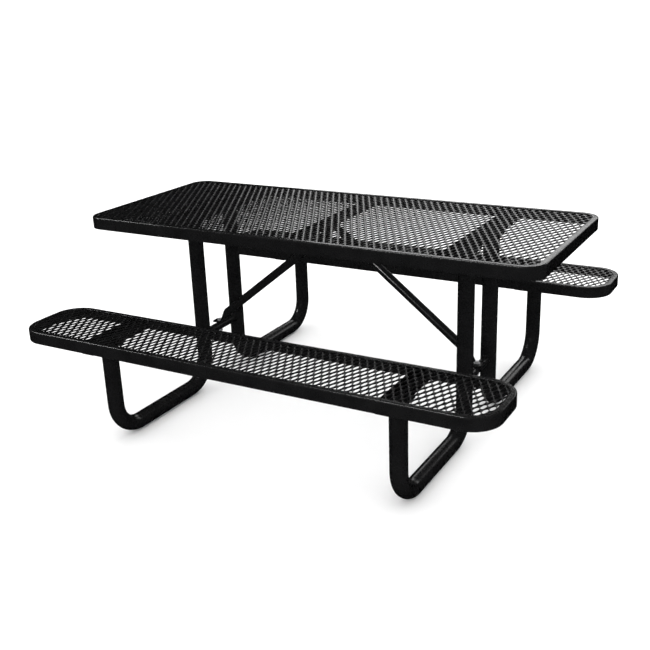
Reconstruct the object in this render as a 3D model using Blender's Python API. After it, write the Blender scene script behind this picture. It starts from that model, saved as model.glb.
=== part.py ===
"""Picnic table of plastic-coated steel.

An expanded-metal tabletop and two expanded-metal benches stand on four bent leg pipes.
X runs along the benches, Y runs across the table, Z is up, and all sizes are in metres.
The origin is on the ground, below the middle of the tabletop.
"""

import math

import bmesh
import bpy

# ---------------------------------------------------------------- driving dimensions

# Tabletop
TOP_LENGTH = 1.829
TOP_WIDTH = 0.762
TOP_HEIGHT = 0.762
TOP_CORNER_RADIUS = 0.070
TOP_RIM_DEPTH = 0.0465

# Benches
SEAT_LENGTH = 1.840
SEAT_WIDTH = 0.3035
SEAT_HEIGHT = 0.4318
SEAT_OFFSET = 0.6445          # middle of a bench to the middle of the table
SEAT_CORNER_RADIUS = 0.1016
SEAT_RIM_DEPTH = 0.045

# Folded rim that edges the top and the benches
RIM_SHEET = 0.0032
RIM_FLANGE = 0.022
RIM_FOLD_RADIUS = 0.006

# Expanded-metal panels, as a coarse lattice
PANEL_THICKNESS = 0.003
PANEL_BORDER = 0.024
PANEL_CELL_LENGTH = 0.100     # along X
PANEL_STRAND = 0.012          # along X, between neighbouring openings
TOP_PANEL_ROWS = 7
SEAT_PANEL_ROWS = 3

# Channels under the panels, open side up
CHANNEL_WIDTH = 0.0508
CHANNEL_DEPTH = 0.038
CHANNEL_SHEET = 0.003

# Angle under the middle of the tabletop
ANGLE_FLANGE = 0.032
ANGLE_DROP = 0.032
ANGLE_SHEET = 0.0048

# Leg pipes
LEG_SPREAD = 0.580            # a leg frame's plane to the middle of the table
LEG_DIAMETER = 0.0603
LEG_WALL = 0.0026
LEG_BEND_RADIUS = 0.1143
TABLE_LEG_OFFSET = 0.1235     # a table leg's axis to the middle of the table
SEAT_LEG_SHIFT = 0.0395       # a seat leg's axis outside the middle of its bench

# Mounting plates on the leg pipes' upper ends
PLATE_LENGTH = 0.122          # along Y
PLATE_WIDTH = 0.066
PLATE_THICKNESS = 0.005
PLATE_CORNER_CUT = 0.006
PLATE_BOLT_OFFSET = 0.048     # a bolt to the leg's axis

# Tie bars and braces
TIE_DIAMETER = 0.0334
TIE_WALL = 0.0026
TIE_HEIGHT = 0.230
BRACE_DIAMETER = 0.0334
BRACE_WALL = 0.0022
BRACE_APEX_DROP = 0.0375      # where the two braces' axes meet, below the angle's top
BRACE_TIE_RISE = 0.0325       # a brace's axis above the tie bar's axis, where they cross
BRACE_UPPER_CRUSH = 0.050     # along the brace
BRACE_LOWER_CRUSH = 0.0275    # along X
BRACE_SLIT = 0.0008           # left between the walls of a flattened end
BRACE_TAB_REACH = 0.026       # a lower tab's end past the tie bar's axis
BRACE_TAB_FLAT = 0.014        # the flat part of a lower tab before the tie bar's axis
BRACE_TOP_BOLT_RISE = 0.012   # the upper bolt above the angle's lower edge
BRACE_TOP_TAB_CLEARANCE = 0.001
TAB_ROUNDING = (0.08, 0.30, 0.60, 1.0)                          # shares of a tab's half width
CRUSH_STEPS = ((0.0, 0.0), (0.35, 0.35), (0.7, 0.8), (1.0, 1.0))  # (way along, flatness)

# Bolts, nuts and washers
BOLT_DIAMETER = 0.0095
BOLT_HEAD_FLATS = 0.0143
BOLT_HEAD_HEIGHT = 0.0064
BOLT_POINT_PAST = 0.008       # thread that shows past what it holds
NUT_HEIGHT = 0.0083
WASHER_DIAMETER = 0.024
WASHER_THICKNESS = 0.002

GAP = 0.0003                  # between pieces that touch
DRILL_CLEARANCE = 0.002       # a cutter's overrun past the wall it cuts
SMOOTH_ANGLE = math.radians(40)

# Facets
PIPE_SIDES = 12
BEND_STEPS = 6
CORNER_STEPS = 5
FOLD_STEPS = 2
BOLT_SIDES = 8
WASHER_SIDES = 12

# ---------------------------------------------------------------- worked-out heights

BOLT_HOLE = BOLT_DIAMETER + 2 * GAP
SEAT_LEG_OFFSET = SEAT_OFFSET + SEAT_LEG_SHIFT


def panel_top(surface_height):
    """Top face of a panel that lies under its rim's flange."""
    return surface_height - RIM_SHEET - GAP


def support_top(surface_height):
    """Top of the channels and the angle, just under the panel."""
    return panel_top(surface_height) - PANEL_THICKNESS - GAP


def plate_top(surface_height):
    """Top face of a mounting plate, just under its channel."""
    return support_top(surface_height) - CHANNEL_DEPTH - GAP


def leg_top(surface_height):
    """Upper end of a leg, just under its mounting plate."""
    return plate_top(surface_height) - PLATE_THICKNESS - GAP


# ---------------------------------------------------------------- materials and nodes

def coated_steel(name, roughness):
    material = bpy.data.materials.new(name)
    material.use_nodes = True
    shader = material.node_tree.nodes["Principled BSDF"]
    shader.inputs["Base Color"].default_value = (0.012, 0.012, 0.013, 1.0)
    shader.inputs["Roughness"].default_value = roughness
    shader.inputs["Metallic"].default_value = 0.0
    material.diffuse_color = (0.012, 0.012, 0.013, 1.0)
    return material


def bare_steel(name):
    material = bpy.data.materials.new(name)
    material.use_nodes = True
    shader = material.node_tree.nodes["Principled BSDF"]
    shader.inputs["Base Color"].default_value = (0.30, 0.30, 0.31, 1.0)
    shader.inputs["Roughness"].default_value = 0.35
    shader.inputs["Metallic"].default_value = 1.0
    material.diffuse_color = (0.30, 0.30, 0.31, 1.0)
    return material


def mesh_from(bm, name, smooth_angle=None):
    bmesh.ops.recalc_face_normals(bm, faces=bm.faces)
    mesh = bpy.data.meshes.new(name)
    bm.to_mesh(mesh)
    bm.free()
    if smooth_angle is not None:
        mesh.shade_smooth()
        mesh.set_sharp_from_angle(angle=smooth_angle)
    return mesh


def node(name, mesh, material, parent, location=(0, 0, 0), turn=0.0):
    """A named piece; turn is its rotation about Z."""
    piece = bpy.data.objects.new(name, mesh)
    bpy.context.scene.collection.objects.link(piece)
    if not mesh.materials:
        mesh.materials.append(material)
    piece.location = location
    piece.rotation_euler = (0, 0, turn)
    piece.parent = parent
    return piece


def frame_empty(name):
    empty = bpy.data.objects.new(name, None)
    bpy.context.scene.collection.objects.link(empty)
    return empty


# ---------------------------------------------------------------- shapes

def ring_faces(bm, rings, closed):
    """Quads between neighbouring rings of vertices; closed joins the last to the first."""
    count = len(rings)
    for i in range(count if closed else count - 1):
        lower = rings[i]
        upper = rings[(i + 1) % count]
        for k in range(len(lower)):
            j = (k + 1) % len(lower)
            bm.faces.new((lower[k], lower[j], upper[j], upper[k]))


def rounded_rectangle(length, width, radius):
    """Corner points of a rounded rectangle with the direction that points inwards at each."""
    points = []
    for quarter, (side_x, side_y) in enumerate(((1, 1), (-1, 1), (-1, -1), (1, -1))):
        centre_x = side_x * (length / 2 - radius)
        centre_y = side_y * (width / 2 - radius)
        for step in range(CORNER_STEPS + 1):
            angle = (quarter + step / CORNER_STEPS) * math.pi / 2
            out_x = math.cos(angle)
            out_y = math.sin(angle)
            place = (centre_x + radius * out_x, centre_y + radius * out_y)
            points.append((place, (-out_x, -out_y)))
    return points


def rim_mesh(name, length, width, radius, depth):
    """Folded sheet rim: a flange turned inwards on top of an upright wall."""
    section = [(0.0, -depth)]
    for step in range(FOLD_STEPS + 1):
        angle = step / FOLD_STEPS * math.pi / 2
        inward = RIM_FOLD_RADIUS * (1 - math.cos(angle))
        section.append((inward, RIM_FOLD_RADIUS * (math.sin(angle) - 1)))
    section += [(RIM_FLANGE, 0.0), (RIM_FLANGE, -RIM_SHEET)]
    section += [(RIM_SHEET, -RIM_SHEET), (RIM_SHEET, -depth)]
    bm = bmesh.new()
    rings = []
    for (x, y), (in_x, in_y) in rounded_rectangle(length, width, radius):
        rings.append([bm.verts.new((x + in_x * u, y + in_y * u, w)) for u, w in section])
    ring_faces(bm, rings, closed=True)
    return mesh_from(bm, name, SMOOTH_ANGLE)


def pierced_plate(name, outline, holes, thickness):
    """Flat plate between z = 0 and z = -thickness, with straight-sided holes."""
    bm = bmesh.new()
    edges = []
    for loop in [outline] + holes:
        verts = [bm.verts.new((x, y, 0.0)) for x, y in loop]
        for i, vert in enumerate(verts):
            edges.append(bm.edges.new((vert, verts[(i + 1) % len(verts)])))
    bmesh.ops.triangle_fill(bm, edges=edges, use_beauty=True)
    grown = bmesh.ops.extrude_face_region(bm, geom=bm.faces[:])
    moved = [item for item in grown["geom"] if isinstance(item, bmesh.types.BMVert)]
    bmesh.ops.translate(bm, verts=moved, vec=(0, 0, -thickness))
    return mesh_from(bm, name)


def panel_mesh(name, length, width, radius, rows):
    """Lattice panel that fits inside its rim's wall; rows is the number of rows of openings."""
    inset = RIM_SHEET + GAP
    outline = [place for place, _ in
               rounded_rectangle(length - 2 * inset, width - 2 * inset, radius - inset)]
    open_length = length - 2 * PANEL_BORDER
    open_width = width - 2 * PANEL_BORDER
    columns = round(open_length / PANEL_CELL_LENGTH)
    cell_x = open_length / columns
    cell_y = 2 * open_width / (rows + 1)
    half_x = (cell_x - PANEL_STRAND) / 2
    half_y = cell_y / 2 * half_x / (cell_x / 2)
    corner = radius - PANEL_BORDER
    holes = []
    for row in range(rows):
        y = (row - (rows - 1) / 2) * cell_y / 2
        shift = row % 2
        for column in range(columns - shift):
            x = (column - (columns - 1 - shift) / 2) * cell_x
            in_end_column = abs(x) + half_x > open_length / 2 - corner
            in_end_row = row in (0, rows - 1)
            if in_end_column and in_end_row:
                continue
            holes.append([(x + half_x, y), (x, y + half_y), (x - half_x, y), (x, y - half_y)])
    return pierced_plate(name, outline, holes, PANEL_THICKNESS)


def regular_polygon(flats, sides, centre=(0.0, 0.0)):
    """Points of a polygon with a flat side on each axis, flats across."""
    radius = flats / 2 / math.cos(math.pi / sides)
    points = []
    for k in range(sides):
        angle = (k + 0.5) * 2 * math.pi / sides
        points.append((centre[0] + radius * math.cos(angle), centre[1] + radius * math.sin(angle)))
    return points


def prism_faces(bm, outline, low, high, place):
    """Closed prism; place turns (u, v, w) into a point, with w between low and high."""
    bottom = [bm.verts.new(place(u, v, low)) for u, v in outline]
    top = [bm.verts.new(place(u, v, high)) for u, v in outline]
    ring_faces(bm, [bottom, top], closed=False)
    bm.faces.new(bottom)
    bm.faces.new(top)


def along_x(u, v, w):
    return (w, u, v)


def along_y(u, v, w):
    return (u, w, v)


def along_z(u, v, w):
    return (u, v, w)


def bar_mesh(name, section, low, high, place):
    bm = bmesh.new()
    prism_faces(bm, section, low, high, place)
    return mesh_from(bm, name)


def cutter(name, prisms, parent):
    """Hidden tool made of prisms, each (outline, low, high, place)."""
    bm = bmesh.new()
    for outline, low, high, place in prisms:
        prism_faces(bm, outline, low, high, place)
    tool = bpy.data.objects.new(name, mesh_from(bm, name))
    bpy.context.scene.collection.objects.link(tool)
    tool.hide_render = True
    tool.display_type = "WIRE"
    tool.parent = parent
    return tool


def cut(piece, tool):
    modifier = piece.modifiers.new("cut", "BOOLEAN")
    modifier.operation = "DIFFERENCE"
    modifier.solver = "EXACT"
    modifier.object = tool


def bolt_mesh(name, length, place):
    """Hex bolt: its head sits below w = 0 and its shank reaches up to w = length."""
    bm = bmesh.new()
    shank = regular_polygon(BOLT_DIAMETER, BOLT_SIDES)
    head = regular_polygon(BOLT_HEAD_FLATS, 6)
    bottom = [bm.verts.new(place(u, v, -BOLT_HEAD_HEIGHT)) for u, v in head]
    seat = [bm.verts.new(place(u, v, 0.0)) for u, v in head]
    neck = [bm.verts.new(place(u, v, 0.0)) for u, v in shank]
    tip = [bm.verts.new(place(u, v, length)) for u, v in shank]
    ring_faces(bm, [bottom, seat], closed=False)
    ring_faces(bm, [neck, tip], closed=False)
    bm.faces.new(bottom)
    bm.faces.new(tip)
    edges = []
    for loop in (seat, neck):
        for i, vert in enumerate(loop):
            edges.append(bm.edges.get((vert, loop[(i + 1) % len(loop)])))
    bmesh.ops.triangle_fill(bm, edges=edges, use_beauty=True)
    return mesh_from(bm, name)


def collar_mesh(name, outline, bore, sides, thickness, place):
    """Nut or washer between w = 0 and w = thickness, with a bore through it."""
    inner = regular_polygon(bore, sides)
    bm = bmesh.new()
    outer_low = [bm.verts.new(place(u, v, 0.0)) for u, v in outline]
    outer_high = [bm.verts.new(place(u, v, thickness)) for u, v in outline]
    inner_low = [bm.verts.new(place(u, v, 0.0)) for u, v in inner]
    inner_high = [bm.verts.new(place(u, v, thickness)) for u, v in inner]
    ring_faces(bm, [outer_low, outer_high], closed=False)
    ring_faces(bm, [inner_low, inner_high], closed=False)
    for pair in ((outer_low, inner_low), (outer_high, inner_high)):
        edges = []
        for loop in pair:
            for i, vert in enumerate(loop):
                edges.append(bm.edges.get((vert, loop[(i + 1) % len(loop)])))
        bmesh.ops.triangle_fill(bm, edges=edges, use_beauty=True)
    return mesh_from(bm, name)


def tube_faces(bm, outer_rings, inner_rings):
    """Hollow tube with open ends from matching outer and inner rings."""
    ring_faces(bm, outer_rings, closed=False)
    ring_faces(bm, inner_rings, closed=False)
    for outer, inner in ((outer_rings[0], inner_rings[0]), (outer_rings[-1], inner_rings[-1])):
        ring_faces(bm, [outer, inner], closed=False)


# ---------------------------------------------------------------- leg pipes

def leg_stations():
    """Points (y, z) along a leg pipe's axis, each with its direction, from the seat end."""
    radius = LEG_BEND_RADIUS
    ground_axis = LEG_DIAMETER / 2
    stations = [(SEAT_LEG_OFFSET, leg_top(SEAT_HEIGHT), -math.pi / 2)]
    for step in range(BEND_STEPS + 1):
        swing = step / BEND_STEPS * math.pi / 2
        y = SEAT_LEG_OFFSET - radius * (1 - math.cos(swing))
        z = ground_axis + radius * (1 - math.sin(swing))
        stations.append((y, z, -math.pi / 2 - swing))
    for step in range(BEND_STEPS + 1):
        swing = step / BEND_STEPS * math.pi / 2
        y = TABLE_LEG_OFFSET + radius * (1 - math.sin(swing))
        z = ground_axis + radius * (1 - math.cos(swing))
        stations.append((y, z, -math.pi - swing))
    stations.append((TABLE_LEG_OFFSET, leg_top(TOP_HEIGHT), -3 * math.pi / 2))
    return stations


def leg_mesh():
    bm = bmesh.new()
    outer_rings = []
    inner_rings = []
    for y, z, heading in leg_stations():
        side_y = -math.sin(heading)
        side_z = math.cos(heading)
        for rings, flats in ((outer_rings, LEG_DIAMETER), (inner_rings, LEG_DIAMETER - 2 * LEG_WALL)):
            ring = []
            for u, v in regular_polygon(flats, PIPE_SIDES):
                ring.append(bm.verts.new((u, y + v * side_y, z + v * side_z)))
            rings.append(ring)
    tube_faces(bm, outer_rings, inner_rings)
    return mesh_from(bm, "leg_pipe", SMOOTH_ANGLE)


# ---------------------------------------------------------------- tie bars and braces

def tie_mesh():
    bm = bmesh.new()
    rings = []
    for flats in (TIE_DIAMETER, TIE_DIAMETER - 2 * TIE_WALL):
        outline = regular_polygon(flats, PIPE_SIDES)
        rings.append([[bm.verts.new((u, y, v)) for u, v in outline]
                      for y in (-TABLE_LEG_OFFSET, TABLE_LEG_OFFSET)])
    tube_faces(bm, rings[0], rings[1])
    return mesh_from(bm, "tie_bar", SMOOTH_ANGLE)


def brace_half_thickness():
    return BRACE_WALL + BRACE_SLIT / 2


def brace_section(flatness, width_share=1.0):
    """Outer and inner outlines (y, normal) of the brace's wall, from round (0) to flat (1).

    The length of the wall's middle line stays the same while the tube is flattened.
    """
    round_radius = (BRACE_DIAMETER - BRACE_WALL) / 2
    flat_radius = (BRACE_SLIT + BRACE_WALL) / 2
    bend = round_radius + (flat_radius - round_radius) * flatness
    straight = (2 * math.pi * round_radius - 2 * math.pi * bend) / 4
    half_width = (straight + bend + BRACE_WALL / 2) * width_share
    straight = half_width - bend - BRACE_WALL / 2
    outlines = []
    for radius in (bend + BRACE_WALL / 2, bend - BRACE_WALL / 2):
        outline = []
        for k in range(PIPE_SIDES):
            angle = (k + 0.5) * 2 * math.pi / PIPE_SIDES
            y = radius * math.cos(angle) + math.copysign(straight, math.cos(angle))
            outline.append((y, radius * math.sin(angle)))
        outlines.append(outline)
    return outlines


def flat_half_width():
    return max(y for y, _ in brace_section(1.0)[0])


def brace_slope():
    """Drop of the brace's axis for each metre along X."""
    apex = support_top(TOP_HEIGHT) - BRACE_APEX_DROP
    return (apex - TIE_HEIGHT - BRACE_TIE_RISE) / LEG_SPREAD


def tab_planes():
    """Mid-plane height of a lower tab, and mid-plane distance of an upper tab from x = 0."""
    half = brace_half_thickness()
    lower = TIE_HEIGHT + TIE_DIAMETER / 2 + GAP + half
    upper = ANGLE_SHEET / 2 + GAP + half
    return lower, upper


def brace_stations():
    """Points (x, z, flatness, width share) from the upper tab's end to the lower tab's end."""
    tab_z, tab_x = tab_planes()
    reach = flat_half_width()
    apex = support_top(TOP_HEIGHT) - BRACE_APEX_DROP
    slope = brace_slope()
    tab_end = support_top(TOP_HEIGHT) - ANGLE_SHEET - BRACE_TOP_TAB_CLEARANCE
    rounding = [(share - TAB_ROUNDING[0], math.sqrt(1 - (1 - share) ** 2)) for share in TAB_ROUNDING]
    stations = []
    for distance, width_share in rounding:
        stations.append((tab_x, tab_end - distance * reach, 1.0, width_share))
    crush_run = BRACE_UPPER_CRUSH * math.cos(math.atan(slope))
    for way, flatness in reversed(CRUSH_STEPS):
        x = tab_x + (1 - way) * crush_run
        stations.append((x, apex - slope * x, flatness, 1.0))
    bend_x = LEG_SPREAD - BRACE_TAB_FLAT
    start_x = bend_x - BRACE_LOWER_CRUSH
    start_z = apex - slope * start_x
    for way, flatness in CRUSH_STEPS:
        x = start_x + (bend_x - start_x) * way
        z = start_z + (tab_z - start_z) * way
        stations.append((x, z, flatness, 1.0))
    for distance, width_share in reversed(rounding):
        x = LEG_SPREAD + BRACE_TAB_REACH - distance * reach
        stations.append((x, tab_z, 1.0, width_share))
    return stations


def brace_mesh():
    bm = bmesh.new()
    stations = brace_stations()
    outer_rings = []
    inner_rings = []
    for i, (x, z, flatness, share) in enumerate(stations):
        before = stations[max(i - 1, 0)]
        after = stations[min(i + 1, len(stations) - 1)]
        heading = math.atan2(after[1] - before[1], after[0] - before[0])
        normal = (-math.sin(heading), math.cos(heading))
        for rings, outline in zip((outer_rings, inner_rings), brace_section(flatness, share)):
            rings.append([bm.verts.new((x + v * normal[0], y, z + v * normal[1])) for y, v in outline])
    tube_faces(bm, outer_rings, inner_rings)
    return mesh_from(bm, "brace", SMOOTH_ANGLE)


# ---------------------------------------------------------------- assembly

SIDES_X = (("left", -1), ("right", 1))
SIDES_Y = (("near", -1), ("far", 1))


def build_surface(prefix, length, width, radius, depth, rows, placements, coating, parent):
    """Rim and panel of the tabletop, or of each bench."""
    rim = rim_mesh(prefix + "_rim", length, width, radius, depth)
    panel = panel_mesh(prefix + "_panel", length, width, radius, rows)
    for name, y, height in placements:
        node(name + "_rim", rim, coating, parent, (0, y, height))
        node(name + "_expanded_metal", panel, coating, parent, (0, y, panel_top(height)))


def channel_section():
    half = CHANNEL_WIDTH / 2
    inner = half - CHANNEL_SHEET
    web = -CHANNEL_DEPTH + CHANNEL_SHEET
    return [(-half, 0), (-half, -CHANNEL_DEPTH), (half, -CHANNEL_DEPTH), (half, 0),
            (inner, 0), (inner, web), (-inner, web), (-inner, 0)]


def bolt_hole_prisms(centre_y, low, high):
    prisms = []
    for side in (-1, 1):
        outline = regular_polygon(BOLT_HOLE, BOLT_SIDES,
                                  (0.0, centre_y + side * PLATE_BOLT_OFFSET))
        prisms.append((outline, low, high, along_z))
    return prisms


def build_channels(coating, parent):
    """One channel under the top at each leg frame, and one under each end of each bench."""
    low = -CHANNEL_DEPTH - DRILL_CLEARANCE
    high = -CHANNEL_DEPTH + CHANNEL_SHEET + DRILL_CLEARANCE
    top_half = TOP_WIDTH / 2 - RIM_SHEET - GAP
    seat_half = SEAT_WIDTH / 2 - RIM_SHEET - GAP
    top_mesh = bar_mesh("top_channel", channel_section(), -top_half, top_half, along_y)
    seat_mesh = bar_mesh("seat_channel", channel_section(), -seat_half, seat_half, along_y)
    for side, sign_x in SIDES_X:
        place = (sign_x * LEG_SPREAD, 0, support_top(TOP_HEIGHT))
        channel = node("top_channel_" + side, top_mesh, coating, parent, place)
        prisms = []
        for _, sign_y in SIDES_Y:
            prisms += bolt_hole_prisms(sign_y * TABLE_LEG_OFFSET, low, high)
        cut(channel, cutter("top_channel_drill_" + side, prisms, channel))
        for row, sign_y in SIDES_Y:
            place = (sign_x * LEG_SPREAD, sign_y * SEAT_OFFSET, support_top(SEAT_HEIGHT))
            channel = node(f"seat_channel_{row}_{side}", seat_mesh, coating, parent, place)
            prisms = bolt_hole_prisms(sign_y * (SEAT_LEG_OFFSET - SEAT_OFFSET), low, high)
            cut(channel, cutter(f"seat_channel_drill_{row}_{side}", prisms, channel))


def build_angle(coating, parent):
    """Angle across the middle of the top; its drop flange holds the braces' upper ends."""
    half = ANGLE_SHEET / 2
    section = [(half, 0), (half - ANGLE_FLANGE, 0), (half - ANGLE_FLANGE, -ANGLE_SHEET),
               (-half, -ANGLE_SHEET), (-half, -ANGLE_DROP), (half, -ANGLE_DROP)]
    reach = TOP_WIDTH / 2 - RIM_SHEET - GAP
    mesh = bar_mesh("centre_angle", section, -reach, reach, along_y)
    angle = node("centre_angle", mesh, coating, parent, (0, 0, support_top(TOP_HEIGHT)))
    hole = regular_polygon(BOLT_HOLE, BOLT_SIDES, (0.0, BRACE_TOP_BOLT_RISE - ANGLE_DROP))
    reach = half + DRILL_CLEARANCE
    cut(angle, cutter("centre_angle_drill", [(hole, -reach, reach, along_x)], angle))


def build_legs(coating, parent):
    mesh = leg_mesh()
    for side, sign_x in SIDES_X:
        for row, sign_y in SIDES_Y:
            turn = 0.0 if sign_y > 0 else math.pi
            node(f"leg_pipe_{row}_{side}", mesh, coating, parent, (sign_x * LEG_SPREAD, 0, 0), turn)


def build_plates_and_bolts(coating, fastener, parent):
    """A mounting plate on each leg end, held to its channel by two bolts."""
    half_x = PLATE_WIDTH / 2
    half_y = PLATE_LENGTH / 2
    chamfer = PLATE_CORNER_CUT
    outline = []
    for sign_x, sign_y in ((1, 1), (-1, 1), (-1, -1), (1, -1)):
        pair = [(sign_x * half_x, sign_y * (half_y - chamfer)),
                (sign_x * (half_x - chamfer), sign_y * half_y)]
        outline += pair if sign_x * sign_y > 0 else pair[::-1]
    holes = []
    for sign in (-1, 1):
        holes.append(regular_polygon(BOLT_HOLE, BOLT_SIDES, (0.0, sign * PLATE_BOLT_OFFSET)))
    plate = pierced_plate("mounting_plate", outline, holes, PLATE_THICKNESS)
    length = PLATE_THICKNESS + CHANNEL_SHEET + 2 * GAP + BOLT_POINT_PAST
    bolt = bolt_mesh("plate_bolt", length, along_z)
    for side, sign_x in SIDES_X:
        for row, sign_y in SIDES_Y:
            for kind, offset, height in (("table", TABLE_LEG_OFFSET, TOP_HEIGHT),
                                         ("seat", SEAT_LEG_OFFSET, SEAT_HEIGHT)):
                x = sign_x * LEG_SPREAD
                y = sign_y * offset
                tag = f"{kind}_{row}_{side}"
                node("leg_plate_" + tag, plate, coating, parent, (x, y, plate_top(height)))
                under = plate_top(height) - PLATE_THICKNESS - GAP
                for spot, shift in (("outer", PLATE_BOLT_OFFSET), ("inner", -PLATE_BOLT_OFFSET)):
                    place = (x, y + sign_y * shift, under)
                    node(f"plate_bolt_{tag}_{spot}", bolt, fastener, parent, place)


def build_ties(coating, parent):
    """A tie bar between the two table legs of each frame, coped to fit round them."""
    mesh = tie_mesh()
    for side, sign_x in SIDES_X:
        tie = node("tie_bar_" + side, mesh, coating, parent, (sign_x * LEG_SPREAD, 0, TIE_HEIGHT))
        prisms = []
        for _, sign_y in SIDES_Y:
            leg = regular_polygon(LEG_DIAMETER + 2 * GAP, PIPE_SIDES, (0.0, sign_y * TABLE_LEG_OFFSET))
            prisms.append((leg, -TIE_DIAMETER, TIE_DIAMETER, along_z))
        hole = regular_polygon(BOLT_HOLE, BOLT_SIDES)
        prisms.append((hole, -TIE_DIAMETER, TIE_DIAMETER, along_z))
        cut(tie, cutter("tie_bar_cope_" + side, prisms, tie))


def build_braces(coating, fastener, parent):
    """Two braces from the tie bars up to the angle under the middle of the top."""
    tab_z, tab_x = tab_planes()
    half = brace_half_thickness()
    bolt_z = support_top(TOP_HEIGHT) - ANGLE_DROP + BRACE_TOP_BOLT_RISE
    mesh = brace_mesh()
    for side, sign_x in SIDES_X:
        turn = 0.0 if sign_x > 0 else math.pi
        brace = node("brace_" + side, mesh, coating, parent, (0, 0, 0), turn)
        lower = regular_polygon(BOLT_HOLE, BOLT_SIDES, (LEG_SPREAD, 0.0))
        upper = regular_polygon(BOLT_HOLE, BOLT_SIDES, (0.0, bolt_z))
        reach = half + DRILL_CLEARANCE
        prisms = [(lower, tab_z - reach, tab_z + reach, along_z),
                  (upper, tab_x - reach, tab_x + reach, along_x)]
        cut(brace, cutter("brace_drill_" + side, prisms, brace))

    washer = collar_mesh("washer", regular_polygon(WASHER_DIAMETER, WASHER_SIDES),
                         BOLT_HOLE, BOLT_SIDES, WASHER_THICKNESS, along_z)
    nut_z = collar_mesh("nut_upright", regular_polygon(BOLT_HEAD_FLATS, 6),
                        BOLT_HOLE, BOLT_SIDES, NUT_HEIGHT, along_z)
    seat = tab_z + half + GAP
    grip = WASHER_THICKNESS + 2 * half + TIE_DIAMETER + 4 * GAP + NUT_HEIGHT
    lower_bolt = bolt_mesh("tie_bolt", grip + BOLT_POINT_PAST / 2, lambda u, v, w: (u, -v, -w))
    for side, sign_x in SIDES_X:
        x = sign_x * LEG_SPREAD
        node("tie_washer_" + side, washer, fastener, parent, (x, 0, seat))
        node("tie_bolt_" + side, lower_bolt, fastener, parent, (x, 0, seat + WASHER_THICKNESS + GAP))
        nut_low = TIE_HEIGHT - TIE_DIAMETER / 2 - GAP - NUT_HEIGHT
        node("tie_nut_" + side, nut_z, fastener, parent, (x, 0, nut_low))

    outside = tab_x + half + GAP
    upper_bolt = bolt_mesh("apex_bolt", 2 * outside + NUT_HEIGHT + BOLT_POINT_PAST / 2,
                           lambda u, v, w: (-w, -u, v))
    nut_x = collar_mesh("nut_sideways", regular_polygon(BOLT_HEAD_FLATS, 6),
                        BOLT_HOLE, BOLT_SIDES, NUT_HEIGHT, along_x)
    node("apex_bolt", upper_bolt, fastener, parent, (outside, 0, bolt_z))
    node("apex_nut", nut_x, fastener, parent, (-outside - NUT_HEIGHT, 0, bolt_z))


def build():
    for old in list(bpy.data.objects):
        bpy.data.objects.remove(old, do_unlink=True)
    sheet = coated_steel("coated_sheet", 0.32)
    pipe = coated_steel("coated_pipe", 0.28)
    fastener = bare_steel("bolt_steel")
    table = frame_empty("picnic_table")
    build_surface("tabletop", TOP_LENGTH, TOP_WIDTH, TOP_CORNER_RADIUS, TOP_RIM_DEPTH, TOP_PANEL_ROWS,
                  [("tabletop", 0.0, TOP_HEIGHT)], sheet, table)
    benches = [(row + "_seat", sign * SEAT_OFFSET, SEAT_HEIGHT) for row, sign in SIDES_Y]
    build_surface("seat", SEAT_LENGTH, SEAT_WIDTH, SEAT_CORNER_RADIUS, SEAT_RIM_DEPTH, SEAT_PANEL_ROWS,
                  benches, sheet, table)
    build_channels(sheet, table)
    build_angle(sheet, table)
    build_legs(pipe, table)
    build_plates_and_bolts(sheet, fastener, table)
    build_ties(pipe, table)
    build_braces(pipe, fastener, table)


build()
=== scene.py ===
"""Looks of the coated-steel picnic table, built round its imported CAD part.

X runs along the benches, Y runs across the table, Z is up, and all sizes are in metres.
"""

import math

import bpy
import numpy as np
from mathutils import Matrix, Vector, noise


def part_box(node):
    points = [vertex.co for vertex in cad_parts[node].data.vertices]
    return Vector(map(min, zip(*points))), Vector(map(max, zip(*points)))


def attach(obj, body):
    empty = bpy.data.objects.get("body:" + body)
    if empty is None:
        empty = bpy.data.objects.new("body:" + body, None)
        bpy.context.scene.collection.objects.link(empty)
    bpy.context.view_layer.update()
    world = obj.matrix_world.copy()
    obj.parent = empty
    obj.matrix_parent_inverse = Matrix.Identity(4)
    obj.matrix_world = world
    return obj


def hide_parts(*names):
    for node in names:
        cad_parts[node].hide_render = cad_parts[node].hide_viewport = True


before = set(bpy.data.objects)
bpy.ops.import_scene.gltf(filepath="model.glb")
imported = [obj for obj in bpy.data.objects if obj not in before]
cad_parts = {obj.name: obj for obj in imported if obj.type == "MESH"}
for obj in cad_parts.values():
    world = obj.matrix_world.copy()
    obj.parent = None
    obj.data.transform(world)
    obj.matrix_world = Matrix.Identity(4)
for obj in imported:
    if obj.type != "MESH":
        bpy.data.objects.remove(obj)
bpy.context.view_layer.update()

ROOT = "root"

# ---------------------------------------------------------------- sizes that the looks add

# Expanded metal under its coating: a strand's pitch along X, and an opening's pitch along Y
PITCH_X = 0.0277
PITCH_Y = 0.0520
OPENING_X = 0.0180
OPENING_Y = 0.0385
OPENING_ROUNDNESS = 1.8        # 1 would be a diamond, 2 an ellipse
STRAND_THICKNESS = 0.0056
STRAND_CROWN = 0.0004          # rise of a strand's top from its edges to its middle
STRAND_BELLY = 0.0012          # the same for its underside
STRAND_TILT = 0.0007           # a strand's left edge is lifted and its right edge lowered by this
STRAND_WAVER = 0.00025         # unevenness of the coating
WAVER_PER_METRE = 90           # how quickly it changes along the sheet
SLOW_WAVER = 0.25              # a second, slower unevenness, as a share of the first one's rate
EDGE_STEPS = 3                 # points along each side of a cell
CELL_MERGE = 1e-6              # grid on which the points of neighbouring cells become one

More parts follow.
